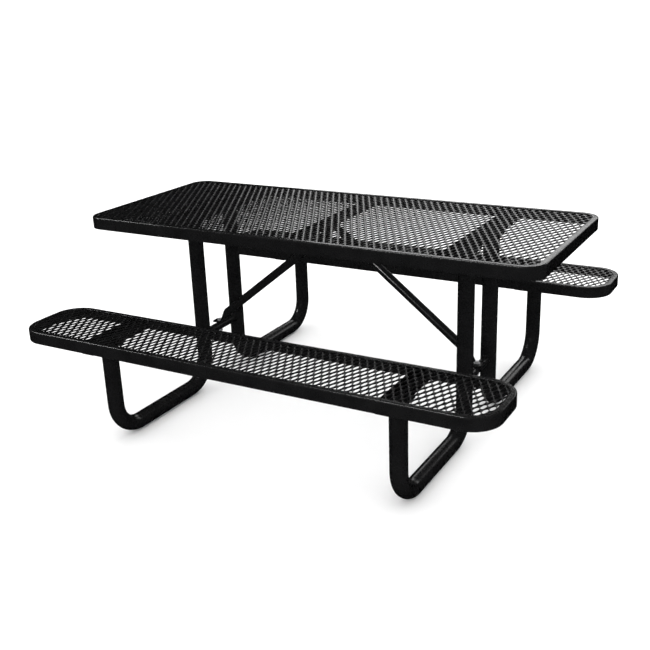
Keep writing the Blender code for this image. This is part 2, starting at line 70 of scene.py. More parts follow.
# Folded rims
RIM_SHEET = 0.0032
RIM_FLANGE = 0.022
RIM_FOLD_RADIUS = 0.006
RIM_STEP = 0.008               # between stations along a straight side
RIM_CORNER_STEPS = 16
FOLD_STEPS = 6
INNER_FOLD_STEPS = 4
FLANGE_STOPS = (0.7, 0.5)      # extra points across the flange, as shares of its width
WALL_STOPS = (0.4, 0.7)        # extra points down the wall, as shares of its depth
RIM_RIPPLE = 0.0005            # unevenness of the coating, inwards only
RIPPLE_PER_METRE = 30
RIPPLE_ACROSS_PER_METRE = 40
FLANGE_SCALLOP = 0.0016        # webs of coating where strands meet the flange
SCALLOP_PER_METRE = 75
SCALLOP_START = 0.6            # share of the flange's width that keeps a straight edge
TOP_CORNER_RADIUS = 0.070
SEAT_CORNER_RADIUS = 0.1016

# Pipes
PIPE_SIDES = 36
LEG_BEND_RADIUS = 0.1143
BEND_STEPS = 22
STRAIGHT_STEP = 0.03
BEND_FLATTENING = 0.045        # share of the radius lost at the outside of a bend
BEND_ONSET = 0.5               # power of a sine: under 1 brings the bend's full effect on early
BEND_WRINKLE = 0.0011
WRINKLE_PITCH = 0.021
PLATE_GAP = 0.0003
TIE_STATIONS = 13

# Braces
BRACE_SLOPE = 0.784
BRACE_TIE_RISE = 0.0325        # a brace's axis above the tie bar's axis, where they cross
BRACE_UPPER_CRUSH = 0.050
BRACE_LOWER_CRUSH = 0.0275
BRACE_TAB_FLAT = 0.014
CRUSH_STEPS = 12
BRACE_STEPS = 20               # along the part between the two crushed ends
TAB_THICKNESS = 0.0052
TAB_CORNER = 0.008
TAB_CORNER_STOPS = (0.0, 0.25, 0.6, 1.0)
TAB_NARROWING = 0.6            # how far a tab's corners are taken in at its tip
TAB_SQUARENESS = 0.45          # 0 would leave an ellipse in section

# Weld beads
PLATE_BEAD = 0.0042
TIE_BEAD = 0.0036
CHANNEL_BEAD = 0.0026
BEAD_SIDES = 10
BEAD_RIPPLE = 0.0005
BEAD_PITCH = 0.0045
BEAD_STEP = 0.0015
BEAD_END_DROP = 0.008          # a cross member's bead stops this far under its top
BEAD_END_SHARE = 0.4           # thickness of an open bead's two ends, as a share of the bead
PLATE_BEAD_DROP = 0.4          # depth of a bead's middle under its plate, as a share of the bead
CHANNEL_BEAD_SINK = 0.3        # the same for a channel's bead and the rim's wall
PLATE_BEAD_STEPS = 96
TIE_BEAD_STEPS = 72

# Fasteners
BOLT_DIAMETER = 0.0095
THREAD_PITCH = 0.0016
THREAD_DEPTH = 0.0006
BOLT_HEAD_HEIGHT = 0.0064
BOLT_THREAD = 0.016
HEX_CHAMFER = 0.0007
HEAD_TOP_RING = 0.30           # a ring on the flat top of a head, as a share of its flats
HEAD_TOP_REACH = 0.46          # the same for the start of its chamfer
FACE_REACH = 0.47              # the same for the round bearing face of a head or nut
BEARING_FACE = 0.0004          # height of that face on a head
BEARING_STEP = 0.0001          # of the slope from the hexagon in to that face
THREAD_RUNOUT = 0.001          # chamfer at a bolt's tip
BORE_BEVEL = 0.0006
WASHER_CLEARANCE = 0.0004
WASHER_ROUNDING = 0.3          # share of a washer's thickness
FASTENER_SIDES = 24

# Edges of the CAD pieces that are kept, as the coating rounds them
COATED_EDGE = 0.0008
COATED_EDGE_SEGMENTS = 3
COATED_EDGE_ANGLE = math.radians(25)

SMOOTH_ANGLE = math.radians(38)

SIDES = ("near", "far")
ENDS = ("left", "right")

# ---------------------------------------------------------------- finishes and studio

BLACK = ((0.0040, 0.0040, 0.0042), (0.0066, 0.0066, 0.0069))
DUST = (0.013, 0.013, 0.0126)
DUST_COVER = 0.16              # share of dust in the dustiest places that face up
COAT_WEIGHT = 0.15
COAT_ROUGHNESS = 0.08
GLOSS_SPREAD = (-0.05, 0.09)   # of the coating's roughness about its mean
ZINC = ((0.30, 0.30, 0.31), (0.56, 0.56, 0.57))
ZINC_METALLIC = 0.55           # pure metal would be black, since gloss sees no sky
ZINC_ROUGHNESS = (0.28, 0.50)
FLOOR_TONES = ((0.91, 0.91, 0.91), (0.93, 0.93, 0.93))
NOISE_RANGE = (0.3, 0.7)       # where nearly all of a noise texture's values lie

SKY_STRENGTH = 1.6
FLOOR_REACH = 2000.0
FLOOR_GAP = 0.0005             # under the legs

CAMERA_LENS = 51.91
SENSOR_WIDTH = 36.0
CAMERA_SHIFT = (-0.0020, 0.0011)
CAMERA_PLACE = (1.69699, -3.05112, 1.60464)
CAMERA_TURN = (1.21672, 0.03407, 0.50928)


# ---------------------------------------------------------------- materials

class Finish:
    """A Principled material with the few node links that every finish here shares."""

    def __init__(self, name):
        self.material = bpy.data.materials.new(name)
        self.material.use_nodes = True
        self.tree = self.material.node_tree
        self.shader = self.tree.nodes["Principled BSDF"]
        self.place = self.tree.nodes.new("ShaderNodeTexCoord").outputs["Object"]

    def noise(self, scale, detail, roughness=0.5):
        node = self.tree.nodes.new("ShaderNodeTexNoise")
        node.inputs["Scale"].default_value = scale
        node.inputs["Detail"].default_value = detail
        node.inputs["Roughness"].default_value = roughness
        self.tree.links.new(self.place, node.inputs["Vector"])
        return node.outputs["Fac"]

    def ramp(self, source, colours, positions=NOISE_RANGE):
        node = self.tree.nodes.new("ShaderNodeValToRGB")
        self.tree.links.new(source, node.inputs["Fac"])
        for element, position, colour in zip(node.color_ramp.elements, positions, colours):
            element.position = position
            element.color = (*colour, 1.0)
        return node.outputs["Color"]

    def spread(self, source, low, high):
        node = self.tree.nodes.new("ShaderNodeMapRange")
        node.inputs["From Min"].default_value = NOISE_RANGE[0]
        node.inputs["From Max"].default_value = NOISE_RANGE[1]
        node.inputs["To Min"].default_value = low
        node.inputs["To Max"].default_value = high
        self.tree.links.new(source, node.inputs["Value"])
        return node.outputs["Result"]

    def mix(self, share, first, second):
        node = self.tree.nodes.new("ShaderNodeMix")
        node.data_type = "RGBA"
        self.tree.links.new(share, node.inputs["Factor"])
        self.tree.links.new(first, node.inputs["A"])
        node.inputs["B"].default_value = (*second, 1.0)
        return node.outputs["Result"]

    def upward(self):
        """How far the surface looks up: 1 on a level top face, 0 on a wall."""
        geometry = self.tree.nodes.new("ShaderNodeNewGeometry")
        parts = self.tree.nodes.new("ShaderNodeSeparateXYZ")
        self.tree.links.new(geometry.outputs["Normal"], parts.inputs["Vector"])
        return parts.outputs["Z"]

    def times(self, first, second):
        node = self.tree.nodes.new("ShaderNodeMath")
        node.operation = "MULTIPLY"
        node.use_clamp = True
        self.tree.links.new(first, node.inputs[0])
        self.tree.links.new(second, node.inputs[1])
        return node.outputs["Value"]

    def bump(self, layers):
        """Stacks bumps, each (height source, distance, strength), and joins them to the shader."""
        normal = None
        for source, distance, strength in layers:
            node = self.tree.nodes.new("ShaderNodeBump")
            node.inputs["Distance"].default_value = distance
            node.inputs["Strength"].default_value = strength
            self.tree.links.new(source, node.inputs["Height"])
            if normal is not None:
                self.tree.links.new(normal, node.inputs["Normal"])
            normal = node.outputs["Normal"]
        self.tree.links.new(normal, self.shader.inputs["Normal"])

    def join(self, source, name):
        self.tree.links.new(source, self.shader.inputs[name])


def coated_steel(name, gloss, specular, ripple_scale, ripple):
    """Thick black polymer on steel: orange peel, soft sags, and a little dust on what looks up."""
    finish = Finish(name)
    black = finish.ramp(finish.noise(scale=14.0, detail=4.0, roughness=0.6), BLACK)
    dust_patches = finish.noise(scale=38.0, detail=6.0, roughness=0.7)
    dust = finish.times(finish.upward(), finish.spread(dust_patches, 0.0, DUST_COVER))
    finish.join(finish.mix(dust, black, DUST), "Base Color")
    gloss_patches = finish.noise(scale=55.0, detail=5.0, roughness=0.65)
    low, high = (gloss + change for change in GLOSS_SPREAD)
    finish.join(finish.spread(gloss_patches, low, high), "Roughness")
    finish.bump((
        (finish.noise(scale=ripple_scale, detail=2.0), 0.0010, ripple),
        (finish.noise(scale=ripple_scale * 4.5, detail=3.0), 0.0003, ripple),
    ))
    finish.shader.inputs["IOR"].default_value = 1.5
    finish.shader.inputs["Coat Weight"].default_value = COAT_WEIGHT
    finish.shader.inputs["Coat Roughness"].default_value = COAT_ROUGHNESS
    finish.shader.inputs["Specular IOR Level"].default_value = specular
    return finish.material


def zinc_steel(name):
    """Zinc plate on a bolt: mottled, with fine scratches and a duller bloom."""
    finish = Finish(name)
    mottle = finish.noise(scale=320.0, detail=5.0, roughness=0.6)
    finish.join(finish.ramp(mottle, ZINC, positions=(0.3, 0.72)), "Base Color")
    bloom = finish.noise(scale=900.0, detail=4.0)
    finish.join(finish.spread(bloom, *ZINC_ROUGHNESS), "Roughness")
    finish.bump(((finish.noise(scale=1400.0, detail=3.0), 0.0001, 0.30),))
    finish.shader.inputs["Metallic"].default_value = ZINC_METALLIC
    return finish.material


def studio_floor(name):
    """Matt white floor with a very faint unevenness."""
    finish = Finish(name)
    finish.join(finish.ramp(finish.noise(scale=0.6, detail=2.0), FLOOR_TONES), "Base Color")
    finish.shader.inputs["Roughness"].default_value = 0.9
    finish.shader.inputs["Specular IOR Level"].default_value = 0.1
    return finish.material


# ---------------------------------------------------------------- meshes

def piece(name, vertices, faces, material, slot, *replaced):
    """Makes a mesh piece that rides on the part's one body and may stand for CAD nodes."""
    mesh = bpy.data.meshes.new(name)
    mesh.from_pydata(vertices, [], faces)
    mesh.validate()
    mesh.update()
    mesh.polygons.foreach_set("use_smooth", [True] * len(mesh.polygons))
    mesh.set_sharp_from_angle(angle=SMOOTH_ANGLE)
    mesh.materials.append(material)
    made = bpy.data.objects.new(name, mesh)
    bpy.context.scene.collection.objects.link(made)
    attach(made, ROOT)
    if replaced:
        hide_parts(*replaced)
    return made


def loft(rings, closed):
    """Vertices and faces through equal rings, capped at both ends unless the loft is closed."""
    count = len(rings[0])
    vertices = [tuple(point) for ring in rings for point in ring]
    faces = []
    for station in range(len(rings) if closed else len(rings) - 1):
        a = station * count
        b = (station + 1) % len(rings) * count
        for i in range(count):
            j = (i + 1) % count
            faces.append((a + i, a + j, b + j, b + i))
    if not closed:
        last = (len(rings) - 1) * count
        faces.append(tuple(reversed(range(count))))
        faces.append(tuple(range(last, last + count)))
    return vertices, faces


def joined(parts):
    """Several (vertices, faces) as one."""
    vertices = []
    faces = []
    for more, more_faces in parts:
        offset = len(vertices)
        vertices += more
        faces += [tuple(offset + i for i in face) for face in more_faces]
    return vertices, faces


def turn(count):
    """Angles of a full turn."""
    return [2 * math.pi * i / count for i in range(count)]


def cad_middle(node):
    low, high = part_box(node)
    return (low + high) / 2


# ---------------------------------------------------------------- rims

def outline(length, width, radius, step):
    """Stations round a rounded rectangle: (place, inward direction), with the distance between
    neighbours near step on straight sides."""
    stations = []
    half_x = length / 2 - radius
    half_y = width / 2 - radius
    corners = ((1, 1, 0), (-1, 1, 90), (-1, -1, 180), (1, -1, 270))
    for index, (sx, sy, start) in enumerate(corners):
        centre = Vector((sx * half_x, sy * half_y, 0.0))
        for i in range(RIM_CORNER_STEPS + 1):
            angle = math.radians(start + 90 * i / RIM_CORNER_STEPS)
            outward = Vector((math.cos(angle), math.sin(angle), 0.0))
            stations.append((centre + outward * radius, -outward))
        here = centre + outward * radius
        next_x, next_y, _ = corners[(index + 1) % 4]
        there = Vector((next_x * half_x, next_y * half_y, 0.0)) + outward * radius
        pieces = max(2, round((there - here).length / step))
        for i in range(1, pieces):
            stations.append((here.lerp(there, i / pieces), -outward))
    return stations


def arc(centre, radius, first, last, steps):
    """Points (inward, height) on an arc, angles in degrees."""
    points = []
    for i in range(steps + 1):
        angle = math.radians(first + (last - first) * i / steps)
        points.append((centre[0] + radius * math.cos(angle), centre[1] + radius * math.sin(angle)))
    return points


def rim_profile(depth):
    """Folded sheet in section: inward from the wall's outer face, and height from the top."""
    half = RIM_SHEET / 2
    fold = (RIM_FOLD_RADIUS, -RIM_FOLD_RADIUS)
    points = arc((RIM_FLANGE - half, -half), half, -90, 90, FOLD_STEPS)
    points += [(RIM_FLANGE * share, 0.0) for share in FLANGE_STOPS]
    points += arc(fold, RIM_FOLD_RADIUS, 90, 180, FOLD_STEPS)
    points += [(0.0, -depth * share) for share in WALL_STOPS]
    points += arc((half, half - depth), half, 180, 360, FOLD_STEPS)
    points += arc(fold, RIM_FOLD_RADIUS - RIM_SHEET, 180, 90, INNER_FOLD_STEPS)
    return points


def rim(prefix, radius, material):
    """Folded rim round a surface, its coating rippled and its flange's free edge scalloped."""
    low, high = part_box(prefix + "_rim")
    middle = (low + high) / 2
    depth = high.z - low.z
    profile = rim_profile(depth)
    rings = []
    for place, inward in outline(high.x - low.x, high.y - low.y, radius, RIM_STEP):
        ring = []
        scallop_spot = Vector((place.x * SCALLOP_PER_METRE, place.y * SCALLOP_PER_METRE, 3.0))
        scallop = FLANGE_SCALLOP * noise.noise(scallop_spot)
        for reach, height in profile:
            past_start = max(0.0, reach - RIM_FLANGE * SCALLOP_START)
            near_edge = past_start / (RIM_FLANGE * (1 - SCALLOP_START))
            across = (height + reach) * RIPPLE_ACROSS_PER_METRE
            spot = Vector((place.x * RIPPLE_PER_METRE, place.y * RIPPLE_PER_METRE, across))
            ripple = RIM_RIPPLE * abs(noise.noise(spot))
            sag_in = ripple if reach < RIM_FOLD_RADIUS else 0.0
            sag_down = ripple if height > -RIM_FOLD_RADIUS else 0.0
            point = place + inward * (reach + sag_in + scallop * near_edge)
            ring.append((point.x + middle.x, point.y + middle.y, high.z + height - sag_down))
        rings.append(ring)
    piece(prefix + "_folded_rim", *loft(rings, True), material, "coated_sheet", prefix + "_rim")


# ---------------------------------------------------------------- expanded metal

def held_inside(points, length, width, radius):
    """Moves points that lie outside a rounded rectangle onto its edge."""
    x = np.clip(points[:, 0], -length / 2, length / 2)
    y = np.clip(points[:, 1], -width / 2, width / 2)
    corner_x = length / 2 - radius
    corner_y = width / 2 - radius
    over_x = np.maximum(np.abs(x) - corner_x, 0.0)
    over_y = np.maximum(np.abs(y) - corner_y, 0.0)
    reach = np.hypot(over_x, over_y)
    outside = (over_x > 0) & (over_y > 0) & (reach > radius)
    shrink = np.where(outside, radius / np.maximum(reach, radius), 1.0)
    x = np.where(outside, np.sign(x) * (corner_x + over_x * shrink), x)
    y = np.where(outside, np.sign(y) * (corner_y + over_y * shrink), y)
    return np.column_stack((x, y, points[:, 2]))


def cell_rings():
    """One cell's four rings of points: over the strands, the opening's upper and lower edges,
    and under the strands. The strands lean, so one edge of each is higher than the other."""
    corners = ((PITCH_X / 2, 0.0), (0.0, PITCH_Y / 2), (-PITCH_X / 2, 0.0), (0.0, -PITCH_Y / 2))
    border = []
    for index, (x, y) in enumerate(corners):
        next_x, next_y = corners[(index + 1) % 4]
        for i in range(EDGE_STEPS):
            way = i / EDGE_STEPS
            border.append((x + (next_x - x) * way, y + (next_y - y) * way))
    half = STRAND_THICKNESS / 2
    opening = []
    for x, y in border:
        across = abs(x) / (OPENING_X / 2)
        along = abs(y) / (OPENING_Y / 2)
        power = across ** OPENING_ROUNDNESS + along ** OPENING_ROUNDNESS
        scale = power ** (-1 / OPENING_ROUNDNESS)
        opening.append((x * scale, y * scale))
    top = [(x, y, half) for x, y in border]
    upper = [(x, y, half - STRAND_CROWN + STRAND_TILT * x / (OPENING_X / 2)) for x, y in opening]
    lower = [(x, y, STRAND_BELLY - half + STRAND_TILT * x / (OPENING_X / 2)) for x, y in opening]
    under = [(x, y, -half) for x, y in border]
    return np.array(top + upper + lower + under)


def expanded_metal(prefix, radius, material):
    """Sheet of diamond openings in staggered rows, trimmed to the inside of its rim."""
    node = prefix + "_expanded_metal"
    low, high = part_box(node)
    middle = (low + high) / 2
    length = high.x - low.x
    width = high.y - low.y
    cell = cell_rings()
    ring = 4 * EDGE_STEPS
    columns = math.ceil(length / PITCH_X) + 1
    rows = math.ceil(width / PITCH_Y) * 2 + 3
    places = []
    for row in range(rows):
        y = (row - (rows - 1) / 2) * PITCH_Y / 2
        for column in range(columns):
            x = (column - (columns - 1) / 2 + 0.5 * (row % 2)) * PITCH_X
            if abs(x) < length / 2 + PITCH_X / 4 and abs(y) < width / 2 + PITCH_Y / 4:
                places.append((x, y, 0.0))
    places = np.array(places)
    points = (places[:, None, :] + cell[None, :, :]).reshape(-1, 3)
    points = held_inside(points, length, width, radius)
    on_grid = np.round(points / CELL_MERGE).astype(np.int64)
    keys, index = np.unique(on_grid, axis=0, return_inverse=True)
    index = index.reshape(-1)
    merged = keys * CELL_MERGE
    for vertex in merged:
        spot = Vector(vertex) * WAVER_PER_METRE
        vertex[2] += STRAND_WAVER * noise.noise(spot)
        vertex[2] += STRAND_WAVER * noise.noise(spot * SLOW_WAVER)
    merged[:, 2] += (low.z + high.z) / 2
    merged[:, 0] += middle.x
    merged[:, 1] += middle.y
    faces = []
    for number in range(len(places)):
        start = number * len(cell)
        for band in range(3):
            a = start + band * ring
            b = a + ring
            for i in range(ring):
                j = (i + 1) % ring
                corners = [int(index[k]) for k in (a + i, a + j, b + j, b + i)]
                kept = list(dict.fromkeys(corners))
                if len(kept) > 2:
                    faces.append(tuple(kept))
    piece(prefix + "_mesh", merged.tolist(), faces, material, "coated_sheet", node)


# ---------------------------------------------------------------- leg pipes

def leg_route(near, far, top_near, top_far, radius):
    """Stations down one leg, along the ground and up the other, in the leg's plane.

    Each is (y, z, outward y, outward z, bend share); near is the bench leg's y, far the table
    leg's, and radius is the pipe's.
    """
    sign = 1 if far > near else -1
    bend = LEG_BEND_RADIUS
    level = radius + bend
    stations = []

    def straight(start, end, outward):
        length = math.hypot(end[0] - start[0], end[1] - start[1])
        steps = max(2, round(length / STRAIGHT_STEP))
        for i in range(steps):
            way = i / steps
            y = start[0] + (end[0] - start[0]) * way
            z = start[1] + (end[1] - start[1]) * way
            stations.append((y, z, *outward, 0.0))

    def curve(centre, first):
        for i in range(BEND_STEPS + 1):
            angle = math.radians(first + 90 * i / BEND_STEPS)
            y = -math.cos(angle) * sign
            z = -math.sin(angle)
            share = math.sin(math.pi * i / BEND_STEPS) ** BEND_ONSET
            stations.append((centre[0] + bend * y, centre[1] + bend * z, y, z, share))

    straight((near, top_near), (near, level), (-sign, 0.0))
    curve((near + sign * bend, level), 0)
    straight((near + sign * bend, radius), (far - sign * bend, radius), (0.0, -1.0))
    curve((far - sign * bend, level), 90)
    straight((far, level), (far, top_far), (sign, 0.0))
    stations.append((far, top_far, sign, 0.0, 0.0))
    return stations


def leg_pipe(side, end, material):
    """Bent leg, a little flattened outside its bends and wrinkled inside them."""
    node = f"leg_pipe_{side}_{end}"
    low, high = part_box(node)
    radius = (high.x - low.x) / 2
    x = (low.x + high.x) / 2
    toward_near = side == "near"
    near = low.y + radius if toward_near else high.y - radius
    far = high.y - radius if toward_near else low.y + radius
    seat_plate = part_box(f"leg_plate_seat_{side}_{end}")[0].z - PLATE_GAP
    rings = []
    travelled = 0.0
    before = None
    for y, z, out_y, out_z, bent in leg_route(near, far, seat_plate, high.z, radius):
        travelled += 0.0 if before is None else math.hypot(y - before[0], z - before[1])
        before = (y, z)
        ring = []
        for angle in turn(PIPE_SIDES):
            outward = math.cos(angle)
            flat = 1 - BEND_FLATTENING * bent * max(0.0, outward) ** 2
            inner = max(0.0, -outward) ** 3
            wave = math.sin(2 * math.pi * travelled / WRINKLE_PITCH)
            reach = radius * flat + BEND_WRINKLE * bent * inner * wave
            out = reach * outward
            ring.append((x + reach * math.sin(angle), y + out_y * out, z + out_z * out))
        rings.append(ring)
    piece(f"{side}_{end}_bent_leg", *loft(rings, False), material, "coated_pipe", node)


# ---------------------------------------------------------------- tie bars and braces

def tie_bar(end, material):
    """Straight pipe between the two table legs, its ends shaped to their round sides."""
    node = f"tie_bar_{end}"
    low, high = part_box(node)
    middle = (low + high) / 2
    radius = (high.z - low.z) / 2
    leg_low, leg_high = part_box(f"leg_pipe_near_{end}")
    leg_radius = (leg_high.x - leg_low.x) / 2
    leg_y = leg_high.y - leg_radius
    rings = []
    for way in np.linspace(-1, 1, TIE_STATIONS):
        ring = []
        for angle in turn(PIPE_SIDES):
            across = radius * math.cos(angle)
            reach = -leg_y - math.sqrt(leg_radius ** 2 - across ** 2)
            ring.append((middle.x + across, way * reach, middle.z + radius * math.sin(angle)))
        rings.append(ring)
    piece(f"{end}_tie_bar", *loft(rings, False), material, "coated_pipe", node)


def brace_route(end, sign):
    """Stations down a brace from its upper tab to its lower one: (x, z, flatness, width share)."""
    low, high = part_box(f"brace_{end}")
    tie = cad_middle(f"tie_bar_{end}")
    inner = low.x if sign > 0 else -high.x
    outer = high.x if sign > 0 else -low.x
    spread = abs(tie.x)
    half = TAB_THICKNESS / 2
    tab_x = inner + half
    tab_z = low.z + half

    def axis_z(x):
        return tie.z + BRACE_TIE_RISE + BRACE_SLOPE * (spread - x)

    tip = [(stop * TAB_CORNER, math.sqrt(1 - (1 - stop) ** 2 * TAB_NARROWING))
           for stop in TAB_CORNER_STOPS]
    route = [(tab_x, high.z - drop, 1.0, share) for drop, share in tip]
    run = BRACE_UPPER_CRUSH * math.cos(math.atan(BRACE_SLOPE))
    for i in range(CRUSH_STEPS + 1):
        way = i / CRUSH_STEPS
        x = tab_x + run * way
        route.append((x, axis_z(x), 1 - way * way * (3 - 2 * way), 1.0))
    bend_x = spread - BRACE_TAB_FLAT
    start_x = bend_x - BRACE_LOWER_CRUSH
    for i in range(1, BRACE_STEPS):
        x = tab_x + run + (start_x - tab_x - run) * i / BRACE_STEPS
        route.append((x, axis_z(x), 0.0, 1.0))
    for i in range(CRUSH_STEPS + 1):
        way = i / CRUSH_STEPS
        x = start_x + (bend_x - start_x) * way
        z = axis_z(start_x) + (tab_z - axis_z(start_x)) * way
        route.append((x, z, way * way * (3 - 2 * way), 1.0))
    route += [(outer - drop, tab_z, 1.0, share) for drop, share in reversed(tip)]
    return route


def brace(end, sign, material):
    """Pipe whose two ends are crushed flat and bent over for their bolts."""
    node = f"brace_{end}"
    low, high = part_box(node)
    flat_half = high.y
    route = brace_route(end, sign)
    tie_low, tie_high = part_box(f"tie_bar_{end}")
    radius = (tie_high.z - tie_low.z) / 2
    rings = []
    for i, (x, z, flat, share) in enumerate(route):
        before = route[max(0, i - 1)]
        after = route[min(len(route) - 1, i + 1)]
        along = Vector((after[0] - before[0], 0.0, after[1] - before[1])).normalized()
        across = Vector((-along.z, 0.0, along.x))
        half_thick = radius + (TAB_THICKNESS / 2 - radius) * flat
        half_wide = (radius + (flat_half - radius) * flat) * share
        ring = []
        for angle in turn(PIPE_SIDES):
            power = 1 - TAB_SQUARENESS * flat
            wide = math.copysign(abs(math.cos(angle)) ** power, math.cos(angle)) * half_wide
            thick = math.copysign(abs(math.sin(angle)) ** power, math.sin(angle)) * half_thick
            ring.append((sign * (x + across.x * thick), wide, z + across.z * thick))
        rings.append(ring if sign > 0 else ring[::-1])
    piece(f"{end}_crushed_brace", *loft(rings, False), material, "coated_pipe", node)


# ---------------------------------------------------------------- weld beads

def bead(path, radius, closed):
    """Rippled bead of weld metal along a path of points."""
    rings = []
    travelled = 0.0
    count = len(path)
    for i, point in enumerate(path):
        before = path[(i - 1) % count] if closed or i else point
        after = path[(i + 1) % count] if closed or i < count - 1 else point
        along = (after - before).normalized()
        side = along.orthogonal() if abs(along.z) > 0.9 else along.cross(Vector((0, 0, 1)))
        side.normalize()
        up = side.cross(along)
        if i:
            travelled += (point - path[i - 1]).length
        lump = radius + BEAD_RIPPLE * math.sin(2 * math.pi * travelled / BEAD_PITCH)
        if not closed and i in (0, count - 1):
            lump *= BEAD_END_SHARE
        rings.append([tuple(point + side * lump * math.cos(a) + up * lump * math.sin(a))
                      for a in turn(BEAD_SIDES)])
    return loft(rings, closed)


def plate_weld(leg_x, leg_y, radius, height):
    """Bead round a pipe where it meets the underside of its mounting plate."""
    z = height - PLATE_BEAD * PLATE_BEAD_DROP
    path = [Vector((leg_x + radius * math.cos(a), leg_y + radius * math.sin(a), z))
            for a in turn(PLATE_BEAD_STEPS)]
    return bead(path, PLATE_BEAD, True)


def tie_weld(end, sign):
    """Bead round one end of a tie bar, on the curve where it meets the round leg."""
    low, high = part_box(f"tie_bar_{end}")
    middle = (low + high) / 2
    radius = (high.z - low.z) / 2
    leg_low, leg_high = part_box(f"leg_pipe_near_{end}")
    leg_radius = (leg_high.x - leg_low.x) / 2
    leg_y = leg_high.y - leg_radius
    path = []
    for angle in turn(TIE_BEAD_STEPS):
        across = radius * math.cos(angle)
        reach = -leg_y - math.sqrt(leg_radius ** 2 - across ** 2)
        path.append(Vector((middle.x + across, sign * reach, middle.z + radius * math.sin(angle))))
    return bead(path, TIE_BEAD, True)


def corner_bead(corners, y):
    """Bead along straight runs between (x, z) corners in the plane at y."""
    path = []
    points = [Vector((x, y, z)) for x, z in corners]
    for start, stop in zip(points, points[1:]):
        steps = max(2, round((stop - start).length / BEAD_STEP))
        path += [start.lerp(stop, i / steps) for i in range(steps)]
    path.append(points[-1])
    return bead(path, CHANNEL_BEAD, False)


def end_place(low, high, sign):
    """Y of the bead at one end of a cross member, sunk a little into its rim's wall."""
    return (high.y if sign > 0 else low.y) - sign * CHANNEL_BEAD * CHANNEL_BEAD_SINK


def channel_weld(node, sign):
    """Bead round the end of a channel, down one wall, across its web and up the other."""
    low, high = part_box(node)
    reach = high.z - BEAD_END_DROP
    corners = ((low.x, reach), (low.x, low.z), (high.x, low.z), (high.x, reach))
    return corner_bead(corners, end_place(low, high, sign))


def angle_weld(node, sign):
    """Bead round the end of the angle, whose drop flange stands under one side of its level one."""
    low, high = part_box(node)
    sheet = high.x * 2
    corners = ((low.x, high.z - sheet), (-high.x, high.z - sheet), (-high.x, low.z),
               (high.x, low.z), (high.x, high.z - BEAD_END_DROP))
    return corner_bead(corners, end_place(low, high, sign))


def welds(material):
    """All weld beads, in pieces that lie close together."""
    for end in ENDS:
        for side in SIDES:
            low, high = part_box(f"leg_pipe_{side}_{end}")
            radius = (high.x - low.x) / 2
            x = (low.x + high.x) / 2
            outer = low.y + radius if side == "near" else high.y - radius
            inner = high.y - radius if side == "near" else low.y + radius
            for kind, y in (("seat", outer), ("table", inner)):
                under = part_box(f"leg_plate_{kind}_{side}_{end}")[0].z
                made = plate_weld(x, y, radius, under)
                piece(f"{side}_{end}_{kind}_plate_weld", *made, material, "coated_pipe")
        parts = [tie_weld(end, sign) for sign in (-1, 1)]
        piece(f"{end}_tie_welds", *joined(parts), material, "coated_pipe")
        parts = [channel_weld(f"top_channel_{end}", sign) for sign in (-1, 1)]
        piece(f"{end}_top_channel_welds", *joined(parts), material, "coated_sheet")
        for side in SIDES:
            parts = [channel_weld(f"seat_channel_{side}_{end}", sign) for sign in (-1, 1)]
            piece(f"{side}_{end}_seat_channel_welds", *joined(parts), material, "coated_sheet")
    parts = [angle_weld("centre_angle", sign) for sign in (-1, 1)]
    piece("centre_angle_welds", *joined(parts), material, "coated_sheet")


# ---------------------------------------------------------------- fasteners

def hex_reach(angle, flats):
    """Distance from a hexagon's middle to its edge."""
    folded = (angle + math.pi / 6) % (math.pi / 3) - math.pi / 6
    return flats / 2 / math.cos(folded)


def turned(profile, flats, place, closed):
    """Rings round an axis; profile is (reach, distance along, whether a hexagon trims it)."""
    rings = []
    for reach, along, hexagonal in profile:
        ring = []
        for angle in turn(FASTENER_SIDES):
            out = min(reach, hex_reach(angle, flats)) if hexagonal else reach
            ring.append(place(out * math.cos(angle), out * math.sin(angle), along))
        rings.append(ring)
    return loft(rings, closed)


def thread(start, stop, radius):
    """Ridges of a thread between two distances along a bolt."""
    points = []
    turns = max(1, int(abs(stop - start) / THREAD_PITCH))
    direction = 1 if stop > start else -1
    for i in range(turns):
        points.append((radius - THREAD_DEPTH, start + direction * THREAD_PITCH * i, False))
        points.append((radius, start + direction * THREAD_PITCH * (i + 0.5), False))
    return points


def bolt(name, node, flats, place, length, material):
    """Hex bolt; place maps (u, v, distance from the top of the head) to a point."""
    shank = BOLT_DIAMETER / 2
    profile = [
        (flats * HEAD_TOP_RING, 0.0, True),
        (flats * HEAD_TOP_REACH, 0.0, True),
        (flats, HEX_CHAMFER, True),
        (flats, BOLT_HEAD_HEIGHT - BEARING_FACE - BEARING_STEP, True),
        (flats * FACE_REACH, BOLT_HEAD_HEIGHT - BEARING_FACE, True),
        (flats * FACE_REACH, BOLT_HEAD_HEIGHT, True),
        (shank, BOLT_HEAD_HEIGHT, False),
    ]
    thread_start = max(BOLT_HEAD_HEIGHT, length - BOLT_THREAD)
    profile += thread(thread_start, length - THREAD_RUNOUT, shank)
    profile.append((shank - THREAD_RUNOUT, length, False))
    piece(name, *turned(profile, flats, place, False), material, "bolt_steel", node)


def nut(name, node, flats, place, height, material):
    """Hex nut with both faces chamfered and a bevelled, threaded bore."""
    bore = BOLT_DIAMETER / 2
    profile = [
        (bore + BORE_BEVEL, 0.0, False),
        (flats * FACE_REACH, 0.0, True),
        (flats, HEX_CHAMFER, True),
        (flats, height - HEX_CHAMFER, True),
        (flats * FACE_REACH, height, True),
        (bore + BORE_BEVEL, height, False),
    ]
    profile += thread(height - BORE_BEVEL, BORE_BEVEL, bore)
    piece(name, *turned(profile, flats, place, True), material, "bolt_steel", node)


